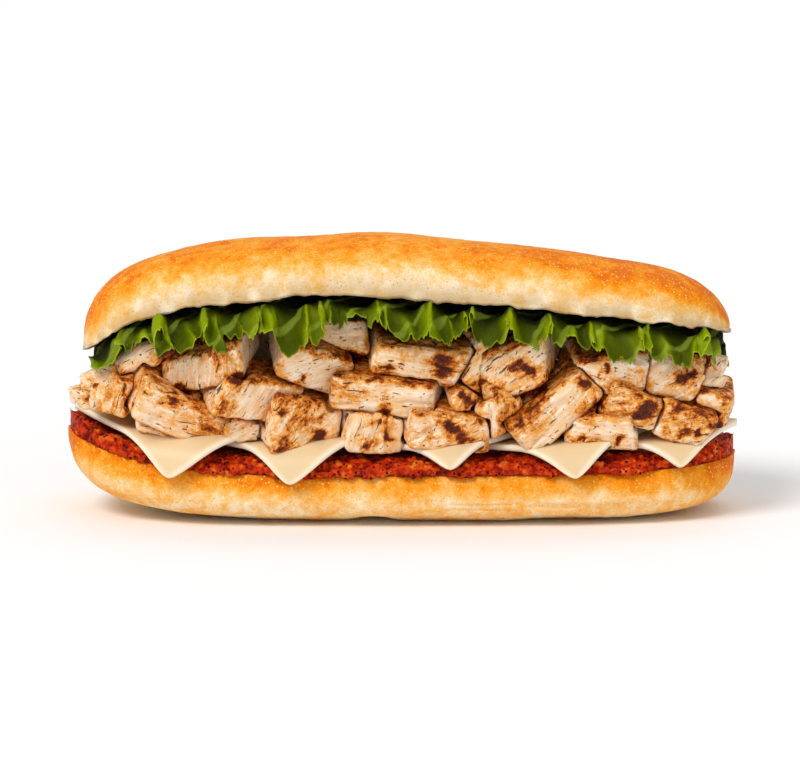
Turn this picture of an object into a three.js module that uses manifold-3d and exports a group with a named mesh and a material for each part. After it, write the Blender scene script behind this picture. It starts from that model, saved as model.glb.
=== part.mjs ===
// A grilled chicken submarine sandwich: a soft roll split into heel and crown, a coarse red pepper
// spread, five square cheese slices laid corner out, a heap of diced grilled chicken breast, and
// three frilled lettuce leaves. Millimetres, +Z up, +X along the roll, the open side faces -Y.
import * as THREE from 'three';
import { ConvexGeometry } from 'three/addons/geometries/ConvexGeometry.js';
import { mergeVertices } from 'three/addons/utils/BufferGeometryUtils.js';
import Module from 'manifold-3d';

const wasm = await Module();
wasm.setup();

// Roll
const HALF_WIDTH = 38;
const HEEL = { halfLength: 115, depth: 18, rim: 18, crumbRise: 0.5 };
const HEEL_LIFT = { left: 10.5, leftPower: 4, right: 2, rightPower: 3 };
const CROWN = { centre: 1.7, halfLength: 111.5, height: 21.2, peak: -18, rim: 75, tilt: 10, crumbSag: 0.9 };
const CROWN_DROOP = { left: 13, leftPower: 2.1, right: 12.5, rightPower: 1.35 };
const CROWN_END = { hang: 5.5, from: 91, over: 15 };
const ROLL_STATIONS = 28;
const BASE_FLAT = 0.6;

// Fillings
const GAP = 0.35;
const SPREAD = { halfLength: 114.4, halfWidth: 38.6, thickness: 4.0, lump: 0.6, squeezed: 2 };
const CHEESE = { side: 62, thickness: 2.2, level: 28.1, shingle: 0.068, bendRadius: 10, bendLimit: 65 };
const CHEESE_RIM = { halfLength: 114, halfWidth: 31.5 };
const LETTUCE = { thickness: 1.0, below: 3.5, bendRadius: 8, bendLimit: 72, overhang: 15, inset: 2.7 };
const RUFFLE = { inner: 1.2, outer: 3.4, sway: 2, inward: 0.4 };

const radians = (degrees) => (degrees * Math.PI) / 180;
const smooth = (t) => t * t * (3 - 2 * t);
const clamp01 = (t) => Math.min(1, Math.max(0, t));

// A repeatable number from 0 to 1 for a seed.
function chance(seed) {
  const s = Math.sin(seed * 127.1 + 311.7) * 43758.5453;
  return s - Math.floor(s);
}

// Outline of the roll in plan: half the width at t, which runs from -1 to 1 along the roll.
const planWidth = (t) => HALF_WIDTH * Math.sqrt(Math.max(0, 1 - t ** 4));

const toSolid = (geometry) => {
  const bare = geometry.clone();
  bare.deleteAttribute('normal');
  bare.deleteAttribute('uv');
  const merged = mergeVertices(bare, 1e-4);
  return new wasm.Manifold(
    new wasm.Mesh({
      numProp: 3,
      vertProperties: merged.attributes.position.array,
      triVerts: new Uint32Array(merged.index.array),
    }),
  );
};

const toGeometry = (solid) => {
  const { vertProperties, triVerts } = solid.getMesh();
  const geometry = new THREE.BufferGeometry();
  geometry.setAttribute('position', new THREE.BufferAttribute(vertProperties, 3));
  geometry.setIndex(new THREE.BufferAttribute(triVerts, 1));
  geometry.computeVertexNormals();
  return geometry;
};

const largestPiece = (solid) =>
  solid.decompose().reduce((best, piece) => (piece.volume() > best.volume() ? piece : best));

// Closed body from rings of points along X, with one pole before the first ring and one after the last.
function loft(rings, firstPole, lastPole) {
  const around = rings[0].length;
  const points = [...rings.flat(), firstPole, lastPole];
  const first = points.length - 2;
  const faces = [];
  for (let i = 0; i < rings.length - 1; i++) {
    for (let j = 0; j < around; j++) {
      const a = i * around + j;
      const b = i * around + ((j + 1) % around);
      faces.push(a, b, a + around, b, b + around, a + around);
    }
  }
  const end = (rings.length - 1) * around;
  for (let j = 0; j < around; j++) {
    const next = (j + 1) % around;
    faces.push(first, next, j);
    faces.push(first + 1, end + j, end + next);
  }
  const geometry = new THREE.BufferGeometry().setFromPoints(points);
  geometry.setIndex(faces);
  return geometry;
}

// Closed sheet: the middle surface at(u, v), u and v from 0 to 1, thickened along its own normal.
function sheet(at, columns, rows, thickness) {
  const step = 1e-3;
  const top = [];
  const bottom = [];
  for (let j = 0; j <= rows; j++) {
    for (let i = 0; i <= columns; i++) {
      const [u, v] = [i / columns, j / rows];
      const middle = at(u, v);
      const along = at(u + step, v).sub(at(u - step, v));
      const across = at(u, v + step).sub(at(u, v - step));
      const normal = along.cross(across).normalize().multiplyScalar(thickness / 2);
      top.push(middle.clone().add(normal));
      bottom.push(middle.clone().sub(normal));
    }
  }
  const width = columns + 1;
  const under = top.length;
  const faces = [];
  for (let j = 0; j < rows; j++) {
    for (let i = 0; i < columns; i++) {
      const [a, b, c, d] = [j * width + i, j * width + i + 1, (j + 1) * width + i + 1, (j + 1) * width + i];
      faces.push(a, b, c, a, c, d);
      faces.push(under + a, under + c, under + b, under + a, under + d, under + c);
    }
  }
  const rim = [];
  for (let i = 0; i < columns; i++) rim.push(i);
  for (let j = 0; j < rows; j++) rim.push(j * width + columns);
  for (let i = columns; i > 0; i--) rim.push(rows * width + i);
  for (let j = rows; j > 0; j--) rim.push(j * width);
  rim.forEach((a, k) => {
    const b = rim[(k + 1) % rim.length];
    faces.push(a, under + a, under + b, a, under + b, b);
  });
  const geometry = new THREE.BufferGeometry().setFromPoints([...top, ...bottom]);
  geometry.setIndex(faces);
  return geometry;
}

// A share from 0 to 1, whose even steps come out closer together near 0 and 1.
const closerAtEnds = (t) => t - (0.5 * Math.sin(2 * Math.PI * t)) / (2 * Math.PI);

// Stations along a half length, close together at the rounded ends.
const stations = (count) =>
  Array.from({ length: count }, (_, i) => Math.sin((Math.PI / 2) * (-1 + (2 * (i + 1)) / (count + 1))));

// Heel

const heelRim = (x) => {
  const t = x / HEEL.halfLength;
  const { left, leftPower, right, rightPower } = HEEL_LIFT;
  return HEEL.rim + left * Math.max(0, -t) ** leftPower + right * Math.max(0, t) ** rightPower;
};

const heelTop = (x, y) => {
  const w = Math.max(planWidth(x / HEEL.halfLength), 1);
  return heelRim(x) + HEEL.crumbRise * Math.max(0, 1 - (y / w) ** 2);
};

// Two lobes of dough meet at a shallow crease on the front of the underside.
const heelCrease = (x, a) => {
  const along = Math.exp(-(((x + 10) / 5) ** 2));
  const under = Math.exp(-(((a - 1.1) / 0.35) ** 2));
  return 1.6 * along * under;
};

function heel() {
  const crustSteps = 14;
  const cutSteps = 4;
  const rings = stations(ROLL_STATIONS).map((t) => {
    const x = t * HEEL.halfLength;
    const w = planWidth(t);
    const depth = HEEL.depth * (1 - Math.abs(t) ** 14) ** 0.4;
    const ring = [];
    for (let k = 0; k <= crustSteps; k++) {
      const a = (Math.PI * k) / crustSteps;
      const down = Math.sin(a) ** 0.42;
      const out = Math.sign(Math.cos(a)) * Math.abs(Math.cos(a)) ** 0.55;
      const bulge = 1 + 0.16 * down * (1 - down) + 0.006 * Math.sin(x / 9 + 2 * out);
      const z = heelRim(x) - depth * down + heelCrease(x, a);
      ring.push(new THREE.Vector3(x, -w * out * bulge, z < BASE_FLAT ? 0 : z));
    }
    for (let k = 1; k < cutSteps; k++) {
      const y = w - (2 * w * k) / cutSteps;
      ring.push(new THREE.Vector3(x, y, heelTop(x, y)));
    }
    return ring;
  });
  const pole = (s) => new THREE.Vector3(s * HEEL.halfLength, 0, heelRim(s * HEEL.halfLength) - 5);
  return toSolid(loft(rings, pole(-1), pole(1)));
}

// Crown: arched along its length and tipped back, so that its front rim stands up

const crownRim = (x) => {
  const d = CROWN_DROOP;
  if (x > CROWN.peak) {
    const s = (x - CROWN.peak) / (CROWN.centre + CROWN.halfLength - CROWN.peak);
    return CROWN.rim - d.right * s ** d.rightPower;
  }
  const s = (CROWN.peak - x) / (CROWN.peak - CROWN.centre + CROWN.halfLength);
  return CROWN.rim - d.left * s ** d.leftPower;
};

// A point of the crown's own frame: q across the cut face, n up from it.
const crownPoint = (x, q, n) => {
  const tilt = radians(CROWN.tilt);
  return new THREE.Vector3(
    x,
    q * Math.cos(tilt) + n * Math.sin(tilt),
    crownRim(x) - q * Math.sin(tilt) + n * Math.cos(tilt),
  );
};

// The left end of the crown hangs down over the filling, while its top stays where it is.
const endHang = (x) => CROWN_END.hang * smooth(clamp01((-x - CROWN_END.from) / CROWN_END.over));

const crownWidth = (x) => planWidth(Math.min(1, Math.abs(x - CROWN.centre) / CROWN.halfLength));

function crown() {
  const crustSteps = 14;
  const cutSteps = 4;
  const rings = stations(ROLL_STATIONS).map((t) => {
    const x = CROWN.centre + t * CROWN.halfLength;
    const w = planWidth(t);
    const swell = 0.5 * Math.sin(x / 15 + 1) + 0.4 * Math.sin(x / 8.3 + 2.2);
    const height = (CROWN.height + swell) * (1 - Math.abs(t) ** (7 - t)) ** 0.5;
    const hang = endHang(x);
    const ring = [];
    for (let k = 0; k <= crustSteps; k++) {
      const a = (Math.PI * k) / crustSteps;
      const up = Math.sin(a) ** 0.75;
      const out = Math.sign(Math.cos(a)) * Math.abs(Math.cos(a)) ** 0.8;
      const bulge = 1 + 0.2 * up * (1 - up) + 0.006 * Math.sin(x / 11 + 3 * out);
      ring.push(crownPoint(x, w * out * bulge, height * up - hang * (1 - up)));
    }
    for (let k = 1; k < cutSteps; k++) {
      const share = (2 * k) / cutSteps - 1;
      ring.push(crownPoint(x, w * share, -hang - CROWN.crumbSag * (1 - share ** 2) * (1 - t ** 4)));
    }
    return ring;
  });
  const pole = (s) => {
    const x = CROWN.centre + s * CROWN.halfLength;
    return crownPoint(x, 0, 3 - endHang(x));
  };
  return toSolid(loft(rings, pole(-1), pole(1)));
}

// Spread: a lumpy layer that swells a little over the heel's rim

const lump = (x, y) =>
  Math.sin(x * 1.13 + 1.7 * Math.sin(y * 0.5)) * Math.cos(y * 0.9 + 1.3 * Math.sin(x * 0.37)) +
  0.5 * Math.sin(x * 0.41 + y * 0.3);

function spread() {
  const overSteps = 8;
  const rings = stations(34).map((t) => {
    const x = t * SPREAD.halfLength;
    const w = SPREAD.halfWidth * Math.sqrt(1 - t ** 4);
    const over = [];
    const under = [];
    for (let k = 0; k <= overSteps; k++) {
      const a = (Math.PI * k) / overSteps;
      const out = Math.sign(Math.cos(a)) * Math.abs(Math.cos(a)) ** 0.6;
      const up = Math.sin(a) ** 0.5;
      const y = w * out;
      const edge = 1 + (0.02 * SPREAD.lump * lump(x, 3 * out)) / Math.max(0.3, w / HALF_WIDTH);
      const rough = SPREAD.lump * lump(x, y) * up * Math.abs(out);
      const high = SPREAD.thickness - 1 + SPREAD.squeezed * smooth(clamp01((-out - 0.5) / 0.35));
      over.push(new THREE.Vector3(x, y * edge, heelTop(x, y) + GAP + 0.8 + high * up + rough));
    }
    for (let k = 0; k <= 4; k++) {
      const y = (w * 0.97 * (k - 2)) / 2;
      under.push(new THREE.Vector3(x, y, heelTop(x, y) + GAP));
    }
    return [...under, ...over];
  });
  const pole = (s) => new THREE.Vector3(s * SPREAD.halfLength, 0, heelRim(s * SPREAD.halfLength) + 2);
  return toSolid(loft(rings, pole(-1), pole(1)));
}

// Cheese: each slice is given by its front corner and by the angle of its left edge from -X. It lies
// with its right side over the next one, and its corners bend down past the rim. The last one is cut
// shorter, to end with the roll.
const SLICES = [
  { corner: [-81, -46.8], leftEdge: 57 },
  { corner: [-38.6, -49.5], leftEdge: 50 },
  { corner: [16.6, -45.1], leftEdge: 42 },
  { corner: [59.7, -47.1], leftEdge: 37 },
  { corner: [96.6, -37.6], leftEdge: 30, rightSide: 40 },
];

// Where a flat point of a slice comes to rest, lifted square to the surface: it follows the rim, then
// bends down beyond it.
function drape(x, y, lift) {
  const { halfLength: l, halfWidth: w } = CHEESE_RIM;
  const f = Math.sqrt((y / w) ** 2 + (x / l) ** 4);
  const outward = new THREE.Vector2((2 * x ** 3) / l ** 4, y / w ** 2).divideScalar(Math.max(f, 0.2));
  const beyond = Math.max(0, (f - 1) / Math.max(outward.length(), 1e-3));
  const r = CHEESE.bendRadius;
  const angle = Math.min(beyond / r, radians(CHEESE.bendLimit));
  const straight = beyond - angle * r;
  const reach = (r + lift) * Math.sin(angle) + straight * Math.cos(angle);
  const drop = r - (r + lift) * Math.cos(angle) + straight * Math.sin(angle);
  outward.normalize().multiplyScalar(reach - beyond);
  return [x + outward.x, y + outward.y, -drop];
}

function cheeseSlice({ corner, leftEdge, rightSide = CHEESE.side }, grow = 0) {
  const left = radians(leftEdge);
  const at = (u, v) => {
    const a = -grow + closerAtEnds(u) * (rightSide + 2 * grow);
    const b = -grow + closerAtEnds(v) * (CHEESE.side + 2 * grow);
    const flatX = corner[0] + a * Math.sin(left) - b * Math.cos(left);
    const flatY = corner[1] + a * Math.cos(left) + b * Math.sin(left);
    const [x, y, rise] = drape(flatX, flatY, CHEESE.shingle * (flatX - corner[0]));
    return new THREE.Vector3(x, y, CHEESE.level + heelRim(x) - HEEL.rim + rise);
  };
  return toSolid(sheet(at, 6, 6, CHEESE.thickness + 2 * grow));
}

// Chicken: one row for each dice seen from the front, at [x, z] of its middle. Its length, height and
// depth are real sizes; roll is right side down, yaw turns its face right and pitch tips its top
// forward, in degrees; back is how far its face stands behind the heap's front.
const DICE = [
  { at: [-65.6, 57.4], size: [32, 14, 30], roll: -17, yaw: -20, pitch: 18, back: 2 },
  { at: [-31, 58.7], size: [28, 15, 30], roll: 22, yaw: 8, pitch: 20, back: 2 },
  { at: [-4.8, 48.2], size: [36, 13.5, 30], roll: 9, yaw: -5, pitch: 14, back: 1 },
  { at: [4.5, 58.6], size: [32, 15, 32], roll: 5, yaw: 5, pitch: 10, back: 2 },
  { at: [40, 57], size: [25, 18, 30], roll: -20, yaw: -8, pitch: 12, back: 2 },
  { at: [50.7, 41.2], size: [33, 15, 26], roll: -42, yaw: 10, pitch: 8, back: 0 },
  { at: [69, 55.5], size: [25, 15, 30], roll: -3, yaw: 0, pitch: 14, back: 1 },
  { at: [91.4, 53.5], size: [22, 16, 26], roll: 18, yaw: 5, pitch: 12, back: 2 },
  { at: [-75.9, 40.2], size: [37, 15, 28], roll: 27, yaw: 12, pitch: 18, back: 0 },
  { at: [-52.4, 46.1], size: [29, 16, 24], roll: 10, yaw: 28, pitch: 15, back: 0 },
  { at: [78.7, 43.3], size: [20, 14, 26], roll: 22, yaw: 5, pitch: 14, back: 0 },
  { at: [-35.9, 37], size: [26, 19, 26], roll: 8, yaw: 20, pitch: 12, back: 0 },
  { at: [13.5, 35.6], size: [29, 14, 28], roll: 12, yaw: 5, pitch: 15, back: 0 },
  { at: [-11.7, 34.6], size: [22, 17, 26], roll: 3, yaw: 20, pitch: 10, back: 1 },
  { at: [67.6, 36], size: [25, 14.5, 28], roll: 0, yaw: 5, pitch: 14, back: 1 },
  { at: [93.2, 37.4], size: [22, 15, 24], roll: 25, yaw: 5, pitch: 14, back: 0 },
  { at: [104.5, 40.5], size: [17, 13, 26], roll: 12, yaw: 8, pitch: 10, back: 2 },
  { at: [-100.5, 48], size: [18, 13, 30], roll: -22, yaw: -14, pitch: 8, back: 3 },
  { at: [-88, 59], size: [24, 11, 24], roll: -15, yaw: -5, pitch: 5, back: 5 },
  { at: [25.2, 55.5], size: [18, 17, 28], roll: 30, yaw: 25, pitch: 10, back: 4 },
  { at: [31.7, 41.2], size: [16, 15, 26], roll: -35, yaw: 15, pitch: 8, back: 3 },
  { at: [103, 51.8], size: [16, 14, 28], roll: 8, yaw: 12, pitch: 10, back: 5 },
  { at: [-98.3, 45.5], size: [15, 14, 20], roll: 8, yaw: -10, pitch: 8, back: 1, frontOnly: true },
  { at: [23.5, 46.8], size: [18, 12, 24], roll: -25, yaw: 15, pitch: 14, back: 4, frontOnly: true },
  { at: [-21.4, 65], size: [20, 12, 26], roll: 8, yaw: 0, pitch: -4, back: 8, frontOnly: true },
  { at: [-55.9, 34], size: [15, 9, 22], roll: -5, yaw: 10, pitch: 6, back: 4, frontOnly: true },
  { at: [-85.2, 35.6], size: [13, 7, 20], roll: 25, yaw: 0, pitch: 10, back: 2, frontOnly: true },
];
const HEAP = { front: -38, lowest: 28, floor: 25, backShrink: 0.8, edge: 1.6, gap: 0.5, simplify: 0.1 };

// One dice as cut with a knife: a block with eased edges, a slanted end, a taper and a slight twist.
// Without easing it is the sharp block round the same dice, grown on every side.
function diceBlock([length, height, depth], seed, { ease = 0, grow = 0 }) {
  const size = [length, depth, height].map((s) => s + 2 * grow);
  const random = (k, range) => (chance(seed * 7.31 + k) - 0.5) * 2 * range;
  const [slant, turn, taper, wedge, twist] = [0.3, 0.2, 0.1, 0.14, 0.1].map((r, k) => random(k, r));
  const cut = (unit) => {
    const [x, y, z] = unit.map((c, axis) => (c * size[axis]) / 2);
    const [a, b] = [unit[0], unit[1]];
    return new THREE.Vector3(
      x + slant * z * (1 + 0.4 * a) + turn * y,
      y * (1 + taper * a) + twist * z,
      z * (1 + wedge * a + 0.5 * taper * b),
    );
  };
  const points = [];
  for (const i of [-1, 1]) {
    for (const j of [-1, 1]) {
      for (const k of [-1, 1]) {
        const shares = size.map((s) => 1 - (2 * ease) / s);
        if (ease === 0) points.push(cut([i, j, k]));
        else {
          const [p, q, r] = shares;
          points.push(cut([i, j * q, k * r]), cut([i * p, j, k * r]), cut([i * p, j * q, k]));
        }
      }
    }
  }
  return new ConvexGeometry(points);
}

function dice(row, number, behind, outline) {
  const depth = row.size[2];
  const geometry = diceBlock(row.size, number + (behind ? 40 : 0), outline);
  const turn = new THREE.Euler(radians(row.pitch), radians(row.roll), radians(row.yaw), 'ZXY');
  geometry.applyMatrix4(new THREE.Matrix4().makeRotationFromEuler(turn));
  const [x, z] = row.at;
  const lowered = behind ? HEAP.lowest + (z - HEAP.lowest) * HEAP.backShrink : z;
  const narrowing = HALF_WIDTH - planWidth(x / (HEEL.halfLength + 6));
  geometry.translate(x, HEAP.front + 0.7 * narrowing + row.back + depth / 2, lowered);
  const whole = toSolid(geometry).trimByPlane([0, -1, 0], GAP - (outline.grow ?? 0));
  return behind ? whole.rotate([0, 0, 180]) : whole;
}

// Each dice gives way to the cheese under it, to the leaves and to the dice that lie in front of it.
function chickenHeap(taken) {
  const pieces = [];
  const meets = (a, b) => {
    const [p, q] = [a.boundingBox(), b.boundingBox()];
    return [0, 1, 2].every((k) => p.min[k] < q.max[k] && q.min[k] < p.max[k]);
  };
  for (const behind of [false, true]) {
    DICE.forEach((row, number) => {
      if (behind && row.frontOnly) return;
      const x = behind ? -row.at[0] : row.at[0];
      const floor = HEAP.floor + heelRim(x) - HEEL.rim;
      let solid = dice(row, number, behind, { ease: HEAP.edge }).trimByPlane([0, 0, 1], floor);
      for (const other of taken) {
        if (meets(solid, other)) solid = solid.subtract(other);
      }
      pieces.push(largestPiece(largestPiece(solid).simplify(HEAP.simplify)));
      taken.push(dice(row, number, behind, { grow: HEAP.gap }));
    });
  }
  return pieces;
}

// Lettuce: each leaf lies under the crown's cut face from front to back, and its frilled edges hang
// out on both sides. from and to are its ends along the roll; the ends of the middle leaf are inset,
// so that they pass under the others.
const LEAVES = [
  { from: -106, to: -65, inset: 0, lobe: 2, lobeWave: 21 },
  { from: -69.5, to: -2, inset: LETTUCE.inset, lobe: 2.6, lobeWave: 47 },
  { from: -6.5, to: 113, inset: 0, lobe: 2.4, lobeWave: 29 },
];

// The curls are tight at both ends of the roll and wide on the middle leaf.
const curl = (x) => (2 * Math.PI * x) / 16.5 - 2 * Math.sin((x + 35) / 22);

const leafBend = (x) => Math.max(crownWidth(x), 9) - 4;

// A leaf's cross-section, at a distance from the middle line: flat, then bent down round the filling.
function leafSection(x, along, inset) {
  const start = leafBend(x);
  const beyond = Math.max(0, along - start);
  const angle = Math.min(beyond / LETTUCE.bendRadius, radians(LETTUCE.bendLimit));
  const straight = beyond - angle * LETTUCE.bendRadius;
  const r = LETTUCE.bendRadius - inset;
  const q = Math.min(along, start) + r * Math.sin(angle) + straight * Math.cos(angle);
  const below = LETTUCE.below + LETTUCE.bendRadius + endHang(x);
  const n = -below + r * Math.cos(angle) - straight * Math.sin(angle);
  return { q, n, angle, frill: smooth(clamp01((along / start - 0.85) / 0.5)) };
}

function leafPoint(leaf, x, share) {
  const lobes = leaf.lobe * Math.sin((2 * Math.PI * x) / leaf.lobeWave);
  const along = Math.abs(share) * (leafBend(x) + LETTUCE.overhang + lobes);
  const fromEnd = Math.min(x - leaf.from, leaf.to - x);
  const inset = leaf.inset * (1 - smooth(clamp01((fromEnd - 5) / 12)));
  const { q, n, angle, frill } = leafSection(x, along, inset);
  const phase = curl(x) + (share < 0 ? 0 : 2);
  const wide = frill * RUFFLE.outer * (0.5 + Math.sin(phase) + 0.25 * Math.sin(2.3 * phase));
  const ruffle = RUFFLE.inner * (1 - frill) * Math.sin(phase + q / 6) + wide;
  const sway = RUFFLE.sway * frill * Math.cos(phase);
  const side = Math.sign(share);
  return crownPoint(x + sway, side * (q + ruffle * Math.sin(angle)), n + ruffle * Math.cos(angle));
}

function lettuceLeaf(leaf) {
  const at = (u, v) => {
    const share = Math.sin((Math.PI / 2) * (2 * v - 1)) || 1e-6;
    return leafPoint(leaf, leaf.from + u * (leaf.to - leaf.from), share);
  };
  const columns = Math.round((leaf.to - leaf.from) / 4.8);
  return toSolid(sheet(at, columns, 10, LETTUCE.thickness));
}

// The room that the leaves take up, and everything above them: the chicken is kept out of it.
function leafRoom() {
  const rings = [];
  for (let x = -126; x <= 126; x += 12) {
    const ring = [];
    for (let k = -5; k <= 5; k++) {
      const share = Math.sin((Math.PI / 2) * (k / 5));
      const along = Math.abs(share) * (leafBend(x) + LETTUCE.overhang + 2.5);
      const { q, n, angle, frill } = leafSection(x, along, LETTUCE.inset);
      const ruffle = (1 - frill) * RUFFLE.inner + frill * RUFFLE.inward * RUFFLE.outer;
      const clear = ruffle + LETTUCE.thickness / 2 + 3 * GAP;
      const side = Math.sign(k);
      ring.push(crownPoint(x, side * (q - clear * Math.sin(angle)), n - clear * Math.cos(angle)));
    }
    ring.push(crownPoint(x, 80, 0), crownPoint(x, 80, 40), crownPoint(x, -80, 40), crownPoint(x, -80, 0));
    rings.push(ring);
  }
  return toSolid(loft(rings, crownPoint(-126, 0, 20), crownPoint(126, 0, 20)));
}

// Assembly

const FINISH = {
  crust: { color: 0xe9a552, roughness: 0.55, metalness: 0 },
  spread: { color: 0xb5341a, roughness: 0.4, metalness: 0 },
  cheese: { color: 0xf6e8c4, roughness: 0.45, metalness: 0 },
  chicken: { color: 0xe6c09a, roughness: 0.6, metalness: 0 },
  lettuce: { color: 0x5f9a1f, roughness: 0.4, metalness: 0 },
};

const sandwich = new THREE.Group();

function add(name, solid, finish) {
  const mesh = new THREE.Mesh(toGeometry(solid), new THREE.MeshStandardMaterial(FINISH[finish]));
  mesh.name = name;
  sandwich.add(mesh);
}

const numbered = (stem, i) => `${stem}_${String(i + 1).padStart(2, '0')}`;

add('heel', heel(), 'crust');
add('spread', spread(), 'spread');
SLICES.forEach((slice, i) => add(numbered('cheese_slice', i), cheeseSlice(slice), 'cheese'));
const taken = [...SLICES.map((slice) => cheeseSlice(slice, HEAP.gap)), leafRoom()];
chickenHeap(taken).forEach((piece, i) => add(numbered('chicken', i), piece, 'chicken'));
LEAVES.forEach((leaf, i) => add(numbered('lettuce_leaf', i), lettuceLeaf(leaf), 'lettuce'));
add('crown', crown(), 'crust');

// The part's origin is under the middle of its bounding box.
const box = new THREE.Box3().setFromObject(sandwich);
const middle = box.getCenter(new THREE.Vector3());
sandwich.position.set(-middle.x, -middle.y, -box.min.z);

const part = new THREE.Group();
part.add(sandwich);

export default part;
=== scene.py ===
"""A grilled chicken submarine sandwich: soft roll, red pepper spread, cheese, diced chicken and lettuce.

Lengths are millimetres in the sandwich's own frame (+X along the roll, -Y towards the open front side,
+Z up) until a piece's mesh is made, which is in metres in the row frame.
"""

import math

import bmesh
import bpy
import numpy as np
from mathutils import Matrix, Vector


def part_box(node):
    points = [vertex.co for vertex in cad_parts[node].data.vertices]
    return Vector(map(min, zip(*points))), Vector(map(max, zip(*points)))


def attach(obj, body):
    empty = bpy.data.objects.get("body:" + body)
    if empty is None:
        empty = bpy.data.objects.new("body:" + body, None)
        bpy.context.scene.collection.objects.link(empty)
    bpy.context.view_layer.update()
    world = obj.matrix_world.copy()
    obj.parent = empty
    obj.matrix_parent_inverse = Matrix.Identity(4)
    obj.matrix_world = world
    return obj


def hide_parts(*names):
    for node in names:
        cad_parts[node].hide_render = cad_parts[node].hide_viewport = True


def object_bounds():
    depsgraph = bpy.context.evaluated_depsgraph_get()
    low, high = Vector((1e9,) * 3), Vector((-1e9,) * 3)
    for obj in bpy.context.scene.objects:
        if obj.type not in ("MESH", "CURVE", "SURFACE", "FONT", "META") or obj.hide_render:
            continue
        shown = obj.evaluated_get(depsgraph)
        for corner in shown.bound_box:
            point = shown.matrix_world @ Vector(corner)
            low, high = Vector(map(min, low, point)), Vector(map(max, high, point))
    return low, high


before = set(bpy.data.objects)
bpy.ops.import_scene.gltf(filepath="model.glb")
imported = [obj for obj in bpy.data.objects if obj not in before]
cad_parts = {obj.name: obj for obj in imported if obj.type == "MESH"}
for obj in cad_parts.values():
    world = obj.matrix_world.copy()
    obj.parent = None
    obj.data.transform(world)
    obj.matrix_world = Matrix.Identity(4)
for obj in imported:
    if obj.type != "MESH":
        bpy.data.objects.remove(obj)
CAD_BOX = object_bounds()

MM = 0.001
TAU = 2 * math.pi

# Roll
HALF_WIDTH = 38.0
HEEL_LENGTH = 115.0
HEEL_DEPTH = 18.0
HEEL_RIM = 18.0
HEEL_CRUMB_RISE = 0.5
CROWN_CENTRE = 1.7
CROWN_LENGTH = 111.5
CROWN_HEIGHT = 21.2
CROWN_PEAK = -18.0
CROWN_RIM = 75.0
CROWN_TILT = math.radians(10)
CROWN_HANG = 5.5
CROWN_HANG_FROM = 91.0
CROWN_HANG_RUN = 15.0
CROWN_SECTION = 0.75
CROWN_CRUMB_SAG = 0.9
CROWN_LIP = 1.7
CROWN_LIP_WEAR = 0.7

# How far each end of a rim rises or falls, and by which power of the distance: left, then right.
HEEL_LIFT = ((10.5, 4), (2.0, 3))
CROWN_DROP = ((13.0, 2.1), (12.5, 1.35))

# Points of the roll's meshes: along it, round each crust and across a cut face.
ROLL_RINGS = 430
HEEL_AROUND = 151
CROWN_AROUND = 161
FACE_ACROSS = 50

# Points of the heel's solid, from which its place in the row frame is worked out.
SOLID_RINGS = 28
SOLID_AROUND = 15

# Fillings
SPREAD_LENGTH = 114.4
SPREAD_WIDTH = 38.6
SPREAD_THICKNESS = 4.0
SPREAD_FRONT_SWELL = 2.0
SPREAD_END_SWELL = 1.3
SPREAD_RINGS = 520
SPREAD_AROUND = 71
SPREAD_UNDER = 14
CHEESE_SIDE = 62.0
CHEESE_THICKNESS = 2.2
CHEESE_LEVEL = 28.1
CHEESE_SHINGLE = 0.068
CHEESE_BEND = 10.0
CHEESE_BEND_LIMIT = math.radians(71)
CHEESE_RIM = (114.0, 31.5)
CHEESE_CORNER_PULL = 0.045
CHEESE_EASED_EDGE = 0.9
CHEESE_POINTS = 91
LEAF_BELOW = (0.5, 4.2)
LEAF_BEND = 8.0
LEAF_BEND_LIMITS = (math.radians(54), math.radians(72))
LEAF_OVERHANG = 14.0
LEAF_INSET = 2.7
RUFFLE_INNER = 1.3
RUFFLE_OUTER = 3.4
RUFFLE_SWAY = 2.0
FRILL_LENGTH = 6.3
FRILL_RISE = 2.6
FRILL_SWAY = 1.7
LOBE_LENGTH = 5.6
LOBE_DEPTH = 2.6
TOOTH_LENGTH = 1.5
BROAD_FACE = -47.0
LEAF_STEP = 0.3
LEAF_POINTS = 111
HEAP_FRONT = -38.0
HEAP_LOWEST = 28.0
HEAP_BACK_SHRINK = 0.8
DICE_FACE = 0.8
DICE_ROUNDS = 2

# Setting. Each light: where it comes from, its spread in degrees and its strength.
FRONT_SLANT = math.radians(10)
CAMERA_AIM = (-0.7, 0.0, 43.4)
CAMERA_DISTANCE = 2.5
CAMERA_SENSOR = 36
PICTURE_WIDTH = 0.276
SURROUND_STRENGTH = 0.52
LIGHTS = [
    ("key", (-0.5, -0.62, 0.85), 24, 1.65),
    ("fill", (0.62, -0.95, 0.14), 60, 0.42),
    ("top", (0.1, 0.25, 1.0), 50, 0.45),
]

# Each slice: front corner x and y, angle of its left edge from -X in degrees, length of its right edge.
SLICES = [
    (-81.0, -48.6, 57, CHEESE_SIDE),
    (-38.6, -51.3, 50, CHEESE_SIDE),
    (16.6, -46.2, 42, CHEESE_SIDE),
    (59.7, -48.6, 37, CHEESE_SIDE),
    (96.6, -39.8, 30, 40.0),
]

# Each leaf: its ends along the roll, its inset where it passes under another, its lobes and their wave.
LEAVES = [
    (-106.0, -59.0, 0.0, 2.0, 21.0),
    (-69.5, -2.0, LEAF_INSET, 2.6, 47.0),
    (-13.0, 110.5, 0.0, 2.4, 29.0),
]

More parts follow.
